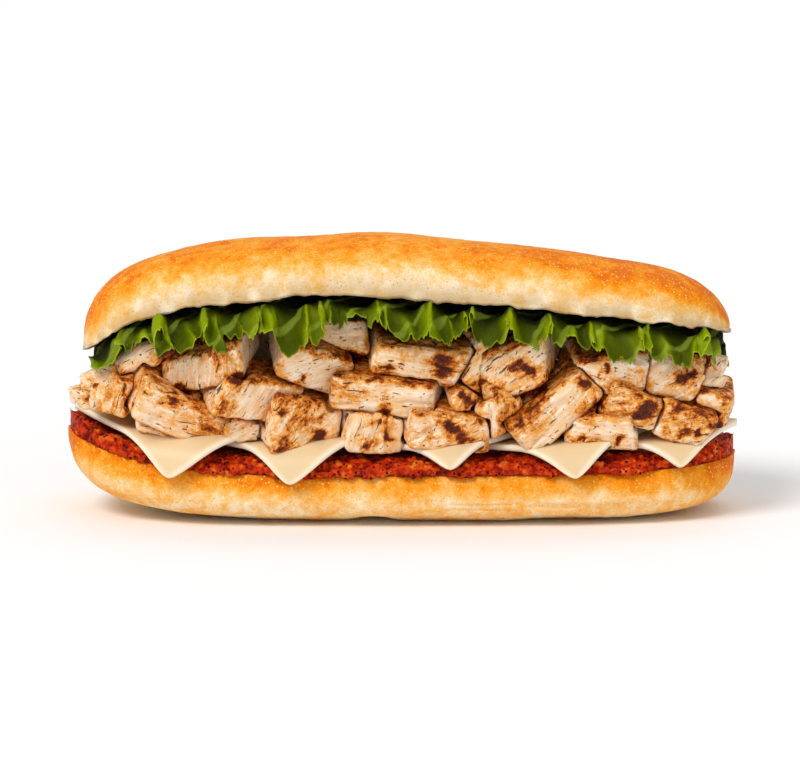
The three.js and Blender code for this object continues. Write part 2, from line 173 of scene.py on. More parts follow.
# Each dice: middle x and z, length, height, depth, roll, yaw and pitch in degrees, how far back its face
# stands, fibre angle on the front face in degrees and how browned that face is. The first ones, as many
# as TWINNED_DICE says, have a twin at the back.
TWINNED_DICE = 22
DICE = [
    (-65.6, 57.4, 32, 14, 30, -17, -20, 18, 2, 62, 0.35),
    (-31, 58.7, 28, 15, 30, 22, 8, 20, 2, 40, 0.1),
    (-4.8, 48.2, 36, 13.5, 30, 9, -5, 14, 1, 4, 0.12),
    (4.5, 58.6, 32, 15, 32, 5, 5, 10, 2, -6, 0.3),
    (40, 57, 25, 18, 30, -20, -8, 12, 2, 20, 0.3),
    (50.7, 41.2, 33, 15, 26, -42, 10, 8, 0, 3, 0.15),
    (69, 55.5, 25, 15, 30, -3, 0, 14, 1, -20, 0.1),
    (91.4, 53.5, 22, 16, 26, 18, 5, 12, 2, 50, 0.25),
    (-75.9, 40.2, 37, 15, 28, 27, 12, 18, 0, 8, 0.3),
    (-52.4, 46.1, 29, 16, 24, 10, 28, 15, 0, 70, 0.2),
    (78.7, 43.3, 20, 14, 26, 22, 5, 14, 0, 30, 0.85),
    (-35.9, 37, 26, 19, 26, 8, 20, 12, 0, 50, 0.8),
    (13.5, 35.6, 29, 14, 28, 12, 5, 15, 0, 30, 0.55),
    (-11.7, 34.6, 22, 17, 26, 3, 20, 10, 1, 80, 0.25),
    (67.6, 36, 25, 14.5, 28, 0, 5, 14, 1, -10, 0.2),
    (93.2, 37.4, 22, 15, 24, 25, 5, 14, 0, 40, 0.85),
    (104.5, 40.5, 17, 13, 26, 12, 8, 10, 2, 20, 0.35),
    (-100.5, 48, 18, 13, 30, -22, -14, 8, 3, -30, 0.3),
    (-88, 59, 24, 11, 24, -15, -5, 5, 5, 20, 0.2),
    (25.2, 55.5, 18, 17, 28, 30, 25, 10, 4, 75, 0.3),
    (31.7, 41.2, 16, 15, 26, -35, 15, 8, 3, 60, 0.9),
    (103, 51.8, 16, 14, 28, 8, 12, 10, 5, 45, 0.1),
    (-98.3, 45.5, 15, 14, 20, 8, -10, 8, 1, 85, 0.6),
    (23.5, 46.8, 18, 12, 24, -25, 15, 14, 4, 30, 0.4),
    (-21.4, 65, 20, 12, 26, 8, 0, -4, 8, 10, 0.2),
    (-55.9, 34, 15, 9, 22, -5, 10, 6, 4, 20, 0.3),
    (-85.2, 35.6, 13, 7, 20, 25, 0, 10, 2, 15, 0.3),
]

# Grill marks as seen from the front: x, height on the picture plane, half length, half height, tilt in
# degrees and how dark, from 0.35 for golden and 0.6 for brown to 1 for char.
GRILL_MARKS = [
    (-80.8, 52.9, 2.8, 3.7, 0, 0.9), (-61.9, 52.5, 3.7, 4.6, 0, 0.62), (-56.2, 44.8, 3.2, 3.2, 0, 1.0),
    (-59.6, 35.1, 2.3, 2.6, 0, 0.68), (-40.4, 33.9, 2.3, 2.0, 0, 1.0), (-48.0, 46.0, 7.0, 2.6, -14, 0.5),
    (-77.9, 36.8, 3.5, 2.0, -30, 0.8), (-74.5, 40.3, 4.5, 1.5, -10, 0.95), (-65.9, 27.1, 3.7, 3.9, 0, 0.68),
    (-68.7, 33.5, 7.0, 5.0, -35, 0.42), (-86.9, 42.4, 6.0, 3.5, -20, 0.42), (-95.7, 39.7, 1.8, 5.5, 15, 0.7),
    (-111.7, 41.4, 1.5, 1.2, 0, 0.9), (-107.1, 38.5, 2.0, 1.0, -20, 0.8), (-104.5, 42.0, 1.2, 1.5, 0, 0.9),
    (-103.1, 37.4, 5.0, 2.5, -25, 0.42), (-39.6, 20.8, 3.5, 2.0, 10, 1.0), (-28.2, 24.8, 2.2, 2.8, 0, 1.0),
    (-28.7, 31.1, 1.8, 1.8, 0, 0.85), (-31.6, 32.8, 6.0, 6.0, 0, 0.45), (-33.6, 57.1, 5.5, 1.6, -35, 0.75),
    (-33.6, 44.5, 1.1, 1.0, 0, 0.95), (-16.8, 51.7, 5.0, 2.5, 0, 0.9), (-3.7, 55.7, 3.5, 1.1, 0, 0.9),
    (17.5, 56.3, 4.0, 1.6, 0, 0.68), (14.6, 48.9, 4.2, 2.4, 20, 0.9), (-5.4, 47.7, 2.3, 0.9, 0, 0.8),
    (6.0, 53.5, 9.0, 2.0, 0, 0.38), (26.1, 42.0, 4.5, 2.0, 30, 0.62), (22.0, 36.8, 3.0, 1.8, -30, 1.0),
    (28.9, 43.7, 3.0, 1.0, 0, 0.9), (39.8, 48.3, 3.5, 2.0, 0, 1.0), (43.2, 47.1, 6.5, 3.2, -20, 0.45),
    (50.1, 46.0, 2.0, 3.0, 0, 0.62), (-9.4, 44.3, 3.0, 1.3, 0, 0.92), (-15.7, 47.1, 1.8, 1.8, 0, 0.6),
    (-18.0, 42.0, 5.0, 4.5, 0, 0.4), (-8.3, 46.6, 8.0, 1.8, 0, 0.5), (-5.4, 29.4, 1.7, 5.5, 0, 0.72),
    (-5.1, 32.3, 1.4, 1.2, 0, 1.0), (-8.8, 29.4, 1.5, 1.2, 0, 0.8), (-11.7, 21.9, 1.8, 1.6, 0, 0.9),
    (-4.8, 23.7, 1.6, 1.4, 0, 0.92), (17.5, 32.3, 7.0, 2.8, -5, 0.46), (18.0, 26.5, 6.2, 2.0, -35, 1.0),
    (33.5, 41.4, 4.0, 1.5, 5, 0.6), (42.1, 31.7, 4.8, 4.2, 0, 0.64), (40.4, 29.4, 2.5, 2.0, 0, 0.9),
    (47.2, 40.8, 3.0, 2.8, 0, 0.92), (61.5, 42.7, 3.5, 1.6, -30, 0.92), (68.6, 53.5, 11.0, 1.6, 0, 0.52),
    (64.7, 51.9, 2.8, 1.3, 0, 1.0), (61.0, 53.8, 2.0, 0.9, 0, 0.8), (76.2, 55.6, 4.0, 1.0, 0, 0.68),
    (69.8, 48.7, 1.1, 0.8, 0, 0.95), (67.5, 45.9, 1.2, 0.7, -40, 0.95), (96.6, 45.5, 4.0, 2.5, 15, 1.0),
    (98.4, 42.7, 3.2, 3.0, 0, 0.5), (95.7, 51.9, 2.8, 1.5, 0, 1.0), (103.1, 49.6, 5.0, 1.4, -15, 0.62),
    (82.7, 34.4, 5.2, 2.9, 15, 1.05), (79.0, 32.1, 2.4, 1.6, 0, 1.0), (79.9, 38.5, 1.6, 1.3, 0, 0.8),
    (77.6, 39.0, 7.0, 5.0, -25, 0.46), (96.1, 25.6, 2.9, 1.8, 20, 1.0), (101.2, 26.5, 1.8, 1.1, 20, 1.0),
    (92.9, 22.4, 1.5, 1.0, 0, 0.95), (93.4, 34.4, 2.8, 2.1, 0, 0.82), (96.5, 30.7, 5.0, 5.0, 0, 0.48),
    (107.7, 28.8, 2.5, 1.3, 0, 0.95), (114.2, 30.7, 1.2, 1.5, 0, 0.95), (109.5, 30.2, 5.0, 2.5, 0, 0.46),
    (111.6, 35.7, 1.2, 1.0, 0, 0.75), (65.6, 34.8, 4.0, 3.2, 0, 0.72), (64.2, 22.8, 2.4, 0.9, 0, 0.8),
    (73.0, 24.2, 1.4, 0.9, 0, 0.92), (61.5, 25.1, 1.4, 0.9, 0, 0.9), (59.2, 24.0, 2.0, 0.7, 0, 0.8),
]


# Numbers over arrays


def clamp(x):
    """Each value held between 0 and 1."""
    return np.clip(x, 0.0, 1.0)


def smooth(x):
    """3x^2 - 2x^3 of x held between 0 and 1."""
    x = clamp(x)
    return x * x * (3 - 2 * x)


def noise(points, size, seed=0):
    """Smooth noise from -1 to 1: random values on a cubic lattice of cells of that size, which may
    differ by axis, blended along each axis by a smooth step."""
    p = points / np.asarray(size, dtype=float)
    cell = np.floor(p).astype(np.int64)
    f = p - cell
    f = f * f * (3 - 2 * f)
    total = np.zeros(p.shape[:-1])
    for corner in np.ndindex(2, 2, 2):
        c = cell + np.array(corner)
        h = (c[..., 0] * 73856093) ^ (c[..., 1] * 19349663) ^ (c[..., 2] * 83492791)
        h = (h + seed * 7919) & 0x7FFFFFFF
        h = ((h ^ (h >> 13)) * 1274126177) & 0x7FFFFFFF
        h = ((h ^ (h >> 15)) * 668265263) & 0x7FFFFFFF
        value = (h & 0xFFFF) / 32767.5 - 1
        weight = np.prod(np.where(np.array(corner, bool), f, 1 - f), axis=-1)
        total += weight * value
    return total


def layered(points, size, seed=0, layers=3):
    """Sum of noises, each half the size and half the strength of the one before."""
    size = np.asarray(size, dtype=float)
    return sum(noise(points, size / 2**k, seed + 31 * k) / 2**k for k in range(layers))


def bell(x, middle, width):
    """1 at the middle, falling off as exp(-d^2), with d in widths from there."""
    return np.exp(-(((x - middle) / width) ** 2))


def signed_power(x, power):
    """x raised to a power with its sign kept."""
    return np.sign(x) * np.abs(x) ** power


def points_of(x, y, z):
    """Points from coordinates of any shapes that fit together."""
    return np.stack(np.broadcast_arrays(x, y, z), -1)


def grid_normals(grid, closed):
    """Unit normals of a grid of points: the cross product of its differences along and across."""
    along = np.gradient(grid, axis=0)
    if closed:
        across = np.roll(grid, -1, axis=1) - np.roll(grid, 1, axis=1)
    else:
        across = np.gradient(grid, axis=1)
    n = np.cross(along, across)
    return n / np.maximum(np.linalg.norm(n, axis=-1, keepdims=True), 1e-9)


def outward_normals(grid, level):
    """Unit normals of rings along X, turned to point away from a line along the roll at that level."""
    n = grid_normals(grid, closed=True)
    return n * np.sign(np.einsum("ijk,ijk->", n, grid - [0, 0, level]))


# Meshes


def strip_faces(rows, columns, closed):
    """Four-sided faces of a grid whose points are numbered row by row. A closed grid joins its last
    column to its first."""
    i = np.arange(rows - 1)[:, None] * columns
    j = np.arange(columns if closed else columns - 1)[None, :]
    k = (j + 1) % columns
    return np.stack([i + j, i + k, i + columns + k, i + columns + j], -1).reshape(-1, 4)


def volume_of(points, quads, triangles):
    """Sum over the faces' triangles of a . (b x c) / 6, which is positive when the faces point out."""
    corners = [quads[:, [0, 1, 2]], quads[:, [0, 2, 3]]]
    if len(triangles):
        corners.append(triangles)
    a, b, c = (points[np.concatenate(corners)[:, k]] for k in range(3))
    return np.einsum("ij,ij->", a, np.cross(b, c)) / 6


def make_piece(name, points, quads, triangles, marks, *dress):
    """A mesh object in the row frame. marks are values per point, and dress is the CAD nodes that it
    stands for, its slot, which is not used, and its material."""
    if volume_of(points - points.mean(axis=0), quads, triangles) < 0:
        quads, triangles = quads[:, ::-1], triangles[:, ::-1]
    mesh = bpy.data.meshes.new(name)
    place = (points + ORIGIN) * MM
    mesh.from_pydata(place.tolist(), [], quads.tolist() + triangles.tolist())
    finish_piece(name, mesh, marks, *dress)


def finish_piece(name, mesh, marks, nodes, slot, material):
    """Gives a mesh its marks, smooth shading, material and body, and hides the CAD nodes that it stands for;
    its slot is not used.
    """
    mesh.polygons.foreach_set("use_smooth", np.ones(len(mesh.polygons), bool))
    for key, values in marks.items():
        kind, field = ("FLOAT_VECTOR", "vector") if values.ndim == 2 else ("FLOAT", "value")
        mark = mesh.attributes.new(key, kind, "POINT")
        mark.data.foreach_set(field, np.ascontiguousarray(values, np.float32).ravel())
    mesh.materials.append(material)
    mesh.update()
    piece = bpy.data.objects.new(name, mesh)
    bpy.context.collection.objects.link(piece)
    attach(piece, "root")
    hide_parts(*nodes)


def loft(name, grid, first, last, marks, *dress):
    """Closed body of rings along X, with a pole at each end."""
    rings, around = grid.shape[:2]
    points = np.concatenate([grid.reshape(-1, 3), [first, last]])
    quads = strip_faces(rings, around, closed=True)
    j = np.arange(around)
    k = (j + 1) % around
    end = (rings - 1) * around
    start = np.full(around, rings * around)
    caps = np.concatenate([np.stack([start, k, j], -1), np.stack([start + 1, end + j, end + k], -1)])
    full = {key: np.append(v.ravel(), [v[0].mean(), v[-1].mean()]) for key, v in marks.items()}
    make_piece(name, points, quads, caps, full, *dress)


def pillow(name, middle, half, marks, *dress):
    """Closed sheet: a grid of middle points, raised and lowered along its normals by half its
    thickness, which is nothing round the rim, where top and bottom share their points."""
    rows, columns = middle.shape[:2]
    n = grid_normals(middle, closed=False)
    index = np.arange(rows * columns).reshape(rows, columns)
    inside = np.zeros((rows, columns), bool)
    inside[1:-1, 1:-1] = True
    under = index.copy()
    under[inside] = rows * columns + np.arange(inside.sum())
    half = np.where(inside, half, 0.0)[..., None]
    points = np.concatenate([(middle + n * half).reshape(-1, 3), (middle - n * half)[inside]])
    quads = strip_faces(rows, columns, closed=False)
    lower = under.ravel()[quads][:, ::-1]
    full = {}
    for key, v in marks.items():
        full[key] = np.concatenate([v.reshape(-1, *v.shape[2:]), v[inside]])
    make_piece(name, points, np.concatenate([quads, lower]), np.zeros((0, 3), int), full, *dress)


def stations(count):
    """Sines of even angles between -90 and 90 degrees, so close together at the ends."""
    return np.sin(np.pi / 2 * (-1 + 2 * np.arange(1, count + 1) / (count + 1)))


# The roll's form


def plan_width(t):
    """Half the roll's width at t, from -1 to 1 along it: full width times the root of 1 - t^4."""
    return HALF_WIDTH * np.sqrt(np.clip(1 - t**4, 0, None))


def heel_rim(x):
    """Height of the heel's rim: level, with both ends lifted by a power of their distance."""
    t = x / HEEL_LENGTH
    (left, left_power), (right, right_power) = HEEL_LIFT
    lift = left * np.clip(-t, 0, None) ** left_power
    return HEEL_RIM + lift + right * np.clip(t, 0, None) ** right_power


def heel_top(x, y):
    """The heel's cut face: its rim's height with a low crown across."""
    w = np.maximum(plan_width(x / HEEL_LENGTH), 1)
    return heel_rim(x) + HEEL_CRUMB_RISE * np.clip(1 - (y / w) ** 2, 0, None)


def heel_ends(length, lift):
    """The two end points of a body that follows the heel's rim, lifted off its height."""
    return [[x, 0, heel_rim(x) + lift] for x in (-length, length)]


def heel_crust(t, a):
    """The heel's crust at angle a, from 0 at the front rim to 180 degrees at the back: a rounded
    section with a flat base, and one shallow crease under the front."""
    x = t * HEEL_LENGTH
    depth = HEEL_DEPTH * (1 - np.abs(t) ** 14) ** 0.4
    down = np.sin(a) ** 0.42
    out = signed_power(np.cos(a), 0.55)
    bulge = 1 + 0.16 * down * (1 - down) + 0.006 * np.sin(x / 9 + 2 * out)
    crease = 1.6 * bell(x, -10, 5) * bell(a, 1.1, 0.35)
    z = heel_rim(x) - depth * down + crease
    return points_of(x, -plan_width(t) * out * bulge, z)


def crown_rim(x):
    """Height of the crown's cut face along the roll: highest left of the middle, lower at both ends
    by a power of the distance from there."""
    (left, left_power), (right, right_power) = CROWN_DROP
    left_length = CROWN_PEAK - CROWN_CENTRE + CROWN_LENGTH
    right_length = CROWN_CENTRE + CROWN_LENGTH - CROWN_PEAK
    left = left * (np.clip(CROWN_PEAK - x, 0, None) / left_length) ** left_power
    right = right * (np.clip(x - CROWN_PEAK, 0, None) / right_length) ** right_power
    return CROWN_RIM - left - right


def end_hang(x):
    """How far the crown's left end hangs down over the filling, while its top stays where it is."""
    return CROWN_HANG * smooth((-x - CROWN_HANG_FROM) / CROWN_HANG_RUN)


def crown_point(x, q, n):
    """A point of the crown's own frame, tipped back: q across its cut face and n up from it."""
    c, s = math.cos(CROWN_TILT), math.sin(CROWN_TILT)
    return points_of(x, q * c + n * s, crown_rim(x) - q * s + n * c)


def crown_width(x):
    """Half the crown's width over x."""
    return plan_width(np.clip(np.abs(x - CROWN_CENTRE) / CROWN_LENGTH, 0, 1))


def crown_crust(t, a):
    """The crown's crust in its own frame at angle a: a rounded section over a flat cut face, with
    slow swells along the roll."""
    x = CROWN_CENTRE + t * CROWN_LENGTH
    swell = 0.5 * np.sin(x / 15 + 1) + 0.4 * np.sin(x / 8.3 + 2.2)
    height = (CROWN_HEIGHT + swell) * (1 - np.abs(t) ** (7 - t)) ** 0.5
    up = np.sin(a) ** CROWN_SECTION
    out = signed_power(np.cos(a), 0.8)
    bulge = 1 + 0.2 * up * (1 - up) + 0.006 * np.sin(x / 11 + 3 * out)
    return np.broadcast_arrays(x, plan_width(t) * out * bulge, height * up)


def origin_shift():
    """From the sandwich's own frame to the row frame: the heel's solid is compared with its crust
    worked out at the same stations."""
    t = stations(SOLID_RINGS)[:, None]
    a = np.pi * np.arange(SOLID_AROUND)[None, :] / (SOLID_AROUND - 1)
    low = heel_crust(t, a)[..., 1].min()
    corner = np.array(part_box("heel")[0]) / MM
    return np.array([corner[0] + HEEL_LENGTH, corner[1] - low, 0.0])


ORIGIN = origin_shift()
LEAF_LIMITS = [CAD_BOX[0][1] / MM - ORIGIN[1] + 0.6, CAD_BOX[1][1] / MM - ORIGIN[1] - 0.6]


# Materials: every one is built of nodes on the piece's own marks or on Object coordinates. MAKING holds
# the node tree of the material that is being made.

MAKING = {}


def linear(r, g, b):
    """A colour as seen on a screen, 0 to 255, as linear light."""
    values = [c / 255 for c in (r, g, b)]
    return [c / 12.92 if c <= 0.04045 else ((c + 0.055) / 1.055) ** 2.4 for c in values] + [1.0]


def add_node(kind, settings=None, **inputs):
    """A shader node in the tree being made, with its settings and with inputs that take a value or
    another node's output."""
    tree = MAKING["tree"]
    node = tree.nodes.new("ShaderNode" + kind)
    for key, value in (settings or {}).items():
        setattr(node, key, value)
    for key, value in inputs.items():
        socket = node.inputs[int(key[1:])] if key[0] == "_" else node.inputs[key.replace("_", " ")]
        if isinstance(value, bpy.types.NodeSocket):
            tree.links.new(value, socket)
        else:
            socket.default_value = value
    return node


def maths(operation, a, b=0.0, c=0.0, held=False):
    """One sum on two or three values, held between 0 and 1 if asked."""
    settings = {"operation": operation, "use_clamp": held}
    return add_node("Math", settings, _0=a, _1=b, _2=c).outputs[0]


def times(a, b, plus=None, held=False):
    """One value times another, with a third added if it is given."""
    if plus is None:
        return maths("MULTIPLY", a, b, held=held)
    return maths("MULTIPLY_ADD", a, b, plus, held)


def blend(share, a, b):
    """Two colours mixed, each another node's output or a colour as seen on a screen."""
    a, b = (linear(*colour) if isinstance(colour, tuple) else colour for colour in (a, b))
    return add_node("Mix", {"data_type": "RGBA"}, _0=share, _6=a, _7=b).outputs[2]


def ramp(share, *stops):
    """A colour ramp through stops of (place, colour as seen on a screen)."""
    node = add_node("ValToRGB", Fac=share)
    band = node.color_ramp
    while len(band.elements) < len(stops):
        band.elements.new(0.5)
    for element, (place, colour) in zip(band.elements, stops):
        element.position = place
        element.color = linear(*colour)
    return node.outputs["Color"]


def step_up(value, low, high):
    """0 below low, 1 above high and a smooth rise between them."""
    settings = {"interpolation_type": "SMOOTHSTEP"}
    return add_node("MapRange", settings, Value=value, From_Min=low, From_Max=high).outputs["Result"]


def grain(place, scale, detail=3.0, rough=0.55, twist=0.0):
    """Noise from 0 to 1 at a place."""
    settings = {"Scale": scale, "Detail": detail, "Roughness": rough, "Distortion": twist}
    return add_node("TexNoise", Vector=place, **settings).outputs["Fac"]


def mark_of(name, output="Fac"):
    """A mark that the piece's mesh carries."""
    return add_node("Attribute", {"attribute_name": name}).outputs[output]


def scaled(place, scale):
    """A place whose axes are each multiplied by a scale, so that noise on it is drawn out."""
    return add_node("Mapping", Vector=place, Scale=scale).outputs["Vector"]


def object_place(stretch=(1, 1, 1)):
    """Object coordinates in millimetres, divided by the stretch along each axis."""
    place = add_node("TexCoord").outputs["Object"]
    return scaled(place, [1000 / s for s in stretch])


def bump(height, distance, strength=1.0, below=None):
    """A bump of that height in millimetres."""
    under = {} if below is None else {"Normal": below}
    node = add_node("Bump", Strength=strength, Distance=distance * MM, Height=height, **under)
    return node.outputs["Normal"]


def make_material(name, surface, **constants):
    """A material with one Principled shader, whose constants are set on its own sockets. surface makes
    the other nodes, and returns colour and, if they vary, roughness and normal."""
    material = bpy.data.materials.new(name)
    material.use_nodes = True
    MAKING["tree"] = material.node_tree
    shader = material.node_tree.nodes["Principled BSDF"]
    for key, value in constants.items():
        shader.inputs[key.replace("_", " ")].default_value = value
    for key, socket in zip(("Base Color", "Roughness", "Normal"), surface()):
        material.node_tree.links.new(socket, shader.inputs[key])
    return material


def cells(place, scale, channel=1):
    """Random cells of that scale: the distance from a cell's middle, and a number of the cell's own."""
    node = add_node("TexVoronoi", Vector=place, Scale=scale)
    own = add_node("SeparateColor", Color=node.outputs["Color"]).outputs[channel]
    return node.outputs["Distance"], own


def dots(place, scale, share, size):
    """Small round dots, in that share of the cells that scale sets, each with a radius of size cells."""
    distance, own = cells(place, scale)
    return times(step_up(distance, size, 0.4 * size), maths("LESS_THAN", own, share))


def crust_surface():
    """Baked crust: its colour follows the mark for baking, mottled by noise at three scales, with pale
    flakes that also stand for painted glints, brown freckles, pale yellow dots where it is baked, which are
    painted glints of small shiny blisters, brown dots where it is pale, wrinkles and pores. The mark for
    crumb turns it to pale soft crumb with open holes, darker in the holes as painted shade, and the mark
    for the edge to a thin line that is partly toasted crumb and partly painted shade under the crown's rim."""
    place = object_place()
    crumb = mark_of("crumb")
    mottle = grain(place, 0.09, 4.0, 0.6, 0.4)
    blotch = grain(place, 0.3, 4.0, 0.62, 0.5)
    fine = grain(place, 1.7, 4.0, 0.62)
    shade = times(mottle, 1.2, maths("SUBTRACT", mark_of("bake"), 0.6))
    shade = times(blotch, 0.8, maths("SUBTRACT", shade, 0.4))
    shade = times(fine, 0.8, maths("SUBTRACT", shade, 0.4), held=True)
    crust = ramp(
        shade, (0.0, (254, 238, 210)), (0.22, (251, 214, 158)), (0.45, (249, 184, 92)),
        (0.68, (247, 155, 30)), (0.86, (243, 138, 4)), (1.0, (228, 112, 0)),
    )
    # Pale flakes: partly the crust's own flaking, partly painted glints.
    flakes_and_glints = step_up(grain(place, 0.8, 5.0, 0.75, 0.8), 0.54, 0.68)
    crust = blend(times(flakes_and_glints, 0.55), crust, (253, 212, 120))
    freckle = step_up(grain(place, 1.5, 3.0, 0.7, 0.5), 0.63, 0.7)
    crust = blend(times(freckle, 0.5), crust, (196, 108, 26))
    # Pale yellow dots where it is baked: painted glints of small shiny blisters.
    crust = blend(times(dots(place, 0.7, 0.7, 0.26), shade), crust, (255, 226, 130))
    spots = times(dots(place, 0.6, 0.5, 0.19), maths("SUBTRACT", 0.8, shade, held=True))
    crust = blend(spots, crust, (176, 104, 34))
    # Thin line along the crown's lower rim: partly toasted crumb, partly painted shade under the rim.
    crust = blend(times(mark_of("edge"), 0.7), crust, (196, 146, 64))
    # Open holes in the crumb, darker as painted shade inside them.
    holes = step_up(grain(place, 0.5, 4.0, 0.7), 0.5, 0.64)
    colour = blend(crumb, crust, blend(holes, (250, 232, 190), (216, 176, 104)))
    rough = maths("MAXIMUM", times(blotch, 0.25, 0.4), times(crumb, 0.85))
    normal = bump(grain(object_place((3.0, 1, 1)), 0.9, 5.0, 0.65), 0.45, 0.55)
    normal = bump(fine, 0.25, 0.6, normal)
    pores = add_node("TexVoronoi", Vector=place, Scale=0.9).outputs["Distance"]
    normal = bump(step_up(pores, 0.05, 0.3), 0.12, 0.35, normal)
    normal = bump(times(maths("SUBTRACT", 1.0, holes), crumb), 1.1, 0.9, normal)
    return colour, rough, normal


def spread_surface():
    """Coarse wet pepper spread: orange-red crumbs and darker pulp with dark specks, a painted highlight on
    the raised crumbs and painted shade in the recesses between crumbs.
    """
    place = object_place()
    lumps, tone = cells(place, 0.5, 0)
    tone = times(tone, 0.3, -0.15)
    tone = maths("ADD", tone, grain(place, 0.55, 4.0, 0.65))
    # Lighter tone on the raised crumbs: a painted highlight.
    tone = times(mark_of("crest"), 0.4, maths("SUBTRACT", tone, 0.15))
    reds = (0.2, (156, 20, 0)), (0.4, (216, 52, 0)), (0.6, (236, 86, 4)), (0.85, (247, 132, 40))
    distance, chosen = cells(place, 0.62)
    speck = times(step_up(distance, 0.38, 0.24), maths("GREATER_THAN", chosen, 0.4))
    # Dark specks of the spread's own, and painted shade in the recesses between crumbs.
    dark = maths("MAXIMUM", speck, mark_of("hollow"), held=True)
    colour = blend(dark, ramp(tone, *reds), (66, 6, 2))
    rough = times(grain(place, 1.3), 0.4, 0.22)
    normal = bump(grain(place, 0.75, 5.0, 0.7), 1.4, 0.9)
    normal = bump(lumps, 0.8, 0.7, normal)
    return colour, rough, normal


def cheese_surface():
    """Smooth white cheese, warmer in the middle of a slice and whiter along its cut rim."""
    place = object_place()
    body = blend(grain(place, 0.06, 3.0, 0.5), (226, 196, 148), (236, 210, 166))
    colour = blend(mark_of("rim"), body, (246, 232, 206))
    rough = times(grain(place, 0.8), 0.15, 0.3)
    normal = bump(grain(place, 0.25, 3.0, 0.5), 0.25, 0.4)
    normal = bump(grain(place, 3.0, 2.0, 0.5), 0.04, 0.4, normal)
    return colour, rough, normal


def chicken_surface():
    """Grilled breast: pale cut faces with fibres, slits and pits, which turn golden, brown and then to
    char as the mark for grilling rises, with noise to break up its edges. The slits and pits are painted
    dark as the shade inside them. fibre holds millimetres along, across and through the fibres, and
    block holds millimetres along the dice's own axes."""
    fibre = mark_of("fibre", "Vector")
    block = mark_of("block", "Vector")
    grill = mark_of("grill")
    threads = grain(scaled(fibre, (0.12, 1.0, 0.7)), 0.9, 4.0, 0.6)
    tone = times(threads, 0.6, times(grain(block, 0.16, 3.0, 0.5), 0.4))
    pale = ramp(tone, (0.36, (243, 190, 128)), (0.48, (250, 212, 168)), (0.6, (255, 236, 212)))
    freckle = grain(block, 1.1, 4.0, 0.68, 0.6)
    streak = grain(scaled(fibre, (0.3, 1.0, 1.0)), 0.5, 4.0, 0.65, 0.3)
    broken = times(grain(block, 0.24, 4.0, 0.65, 0.5), 1.4, times(freckle, 1.5, -1.45))
    broken = times(streak, 1.2, maths("SUBTRACT", broken, 0.6))
    share = times(grill, 2.0, 0.14, held=True)
    browned = times(broken, share, grill)
    golden = ramp(freckle, (0.34, (216, 120, 14)), (0.6, (250, 178, 74)))
    brown = ramp(freckle, (0.36, (128, 44, 0)), (0.62, (202, 96, 6)))
    char = ramp(freckle, (0.38, (30, 6, 0)), (0.64, (112, 38, 4)))
    colour = blend(step_up(browned, 0.14, 0.44), pale, golden)
    colour = blend(step_up(browned, 0.44, 0.7), colour, brown)
    charred = step_up(browned, 0.7, 0.86)
    colour = blend(charred, colour, char)
    slits = grain(scaled(fibre, (0.17, 1.0, 0.45)), 0.7, 3.0, 0.55, 0.6)
    pits = grain(scaled(fibre, (0.7, 1.0, 0.9)), 0.85, 2.0, 0.5, 0.9)
    # Slits and pits, painted dark as the shade inside them.
    holes = maths("MAXIMUM", step_up(pits, 0.665, 0.705), step_up(slits, 0.645, 0.69))
    colour = blend(times(holes, 0.9), colour, (78, 30, 8))
    rough = times(charred, -0.12, times(freckle, 0.3, 0.4))
    normal = bump(threads, 0.5, 0.75)
    normal = bump(freckle, 0.4, 0.7, normal)
    normal = bump(maths("SUBTRACT", 1.0, holes), 0.9, 0.9, normal)
    return colour, rough, normal


def lettuce_surface():
    """Frilled leaf: dark green where it lies under the crown and in the valleys of its ruffles, which is
    painted shade, and lit green on the frill, with a yellow-green line along its edge that is partly the
    leaf's own colour and partly a painted highlight, and paler veins that branch outwards. leaf holds
    millimetres along and outwards."""
    # This mark is painted light: low under the crown and in the valleys of the ruffles, where it paints
    # shade, and high on the frill's raised folds.
    painted_light = mark_of("painted_light")
    place = object_place()
    cloud = grain(place, 0.14, 3.0, 0.5)
    blister = grain(place, 0.5, 3.0, 0.55)
    # A painted shade colour and a lit colour of the same green, mixed by the painted light mark.
    shaded_green = blend(cloud, (10, 14, 0), (36, 45, 0))
    lit_green = blend(cloud, (102, 122, 0), (150, 166, 2))
    colour = blend(painted_light, shaded_green, lit_green)
    # Yellow-green line along the edge: partly the leaf's own colour, partly a painted highlight, fainter
    # where shade is painted.
    lit = times(mark_of("edge"), times(painted_light, 0.7, 0.3))
    colour = blend(lit, colour, (180, 196, 40))
    angled = add_node("Mapping", Vector=mark_of("leaf", "Vector"), Rotation=(0, 0, 0.5)).outputs["Vector"]
    veins = add_node(
        "TexWave", {"wave_type": "BANDS", "bands_direction": "X", "wave_profile": "SIN"},
        Vector=angled, Scale=0.034, Distortion=2.5, Detail=2.0, Detail_Scale=1.5,
    ).outputs["Fac"]
    vein = step_up(veins, 0.86, 0.98)
    colour = blend(times(vein, 0.3), colour, (168, 190, 62))
    rough = times(blister, 0.25, 0.3)
    normal = bump(blister, 0.9, 0.7)
    normal = bump(vein, 0.3, 0.5, normal)
    return colour, rough, normal


# Pieces


